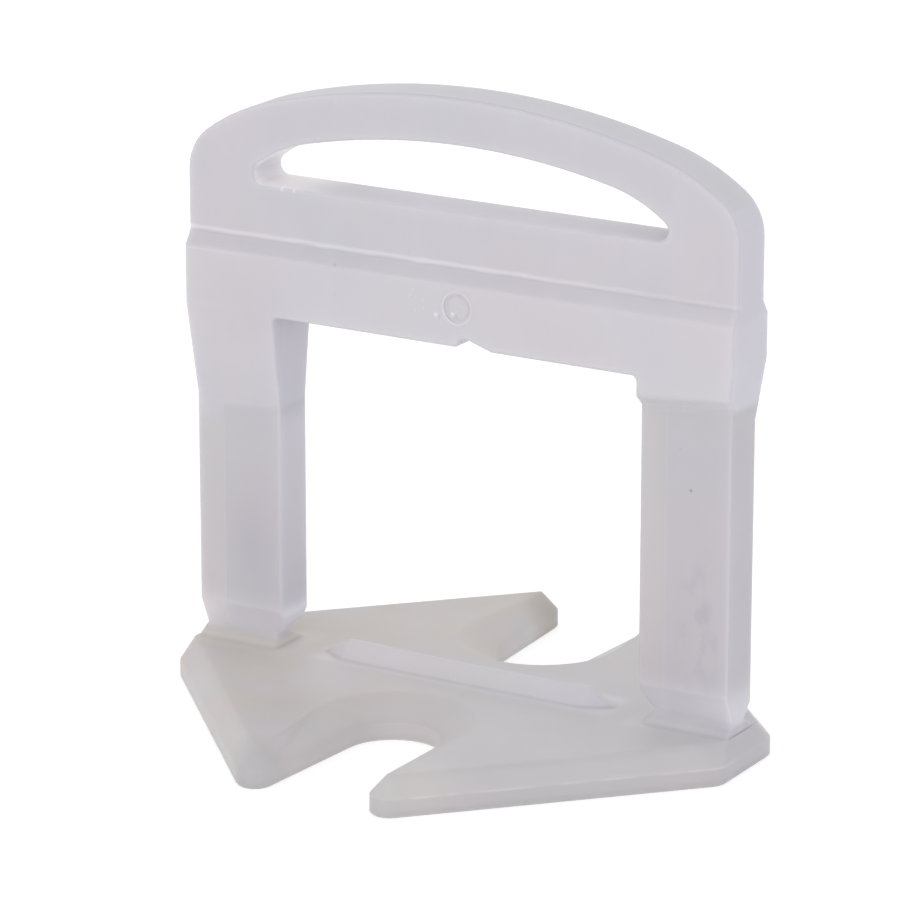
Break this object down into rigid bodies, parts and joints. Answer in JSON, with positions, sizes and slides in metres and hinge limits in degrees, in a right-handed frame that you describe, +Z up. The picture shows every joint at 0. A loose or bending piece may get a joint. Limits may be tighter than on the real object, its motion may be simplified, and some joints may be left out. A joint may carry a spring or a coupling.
{
  "type": "tile levelling clip",
  "caption": "Moulded tile levelling clip: forked foot, snap-off legs, a window for the wedge and an arched finger handle.",
  "frame": {"origin": "centre of the foot's underside, midway between the legs", "axes": "+Z up from the foot to the handle, +X from the left leg to the right leg, +Y through the window, away from the gate mark"},
  "size_m": [0.0412, 0.0384, 0.0417],
  "materials": {
    "levelling_clip": "milky translucent polypropylene with a soft sheen"
  },
  "bodies": {
    "root": {"levelling_clip": "levelling_clip"}
  },
  "joints": []
}
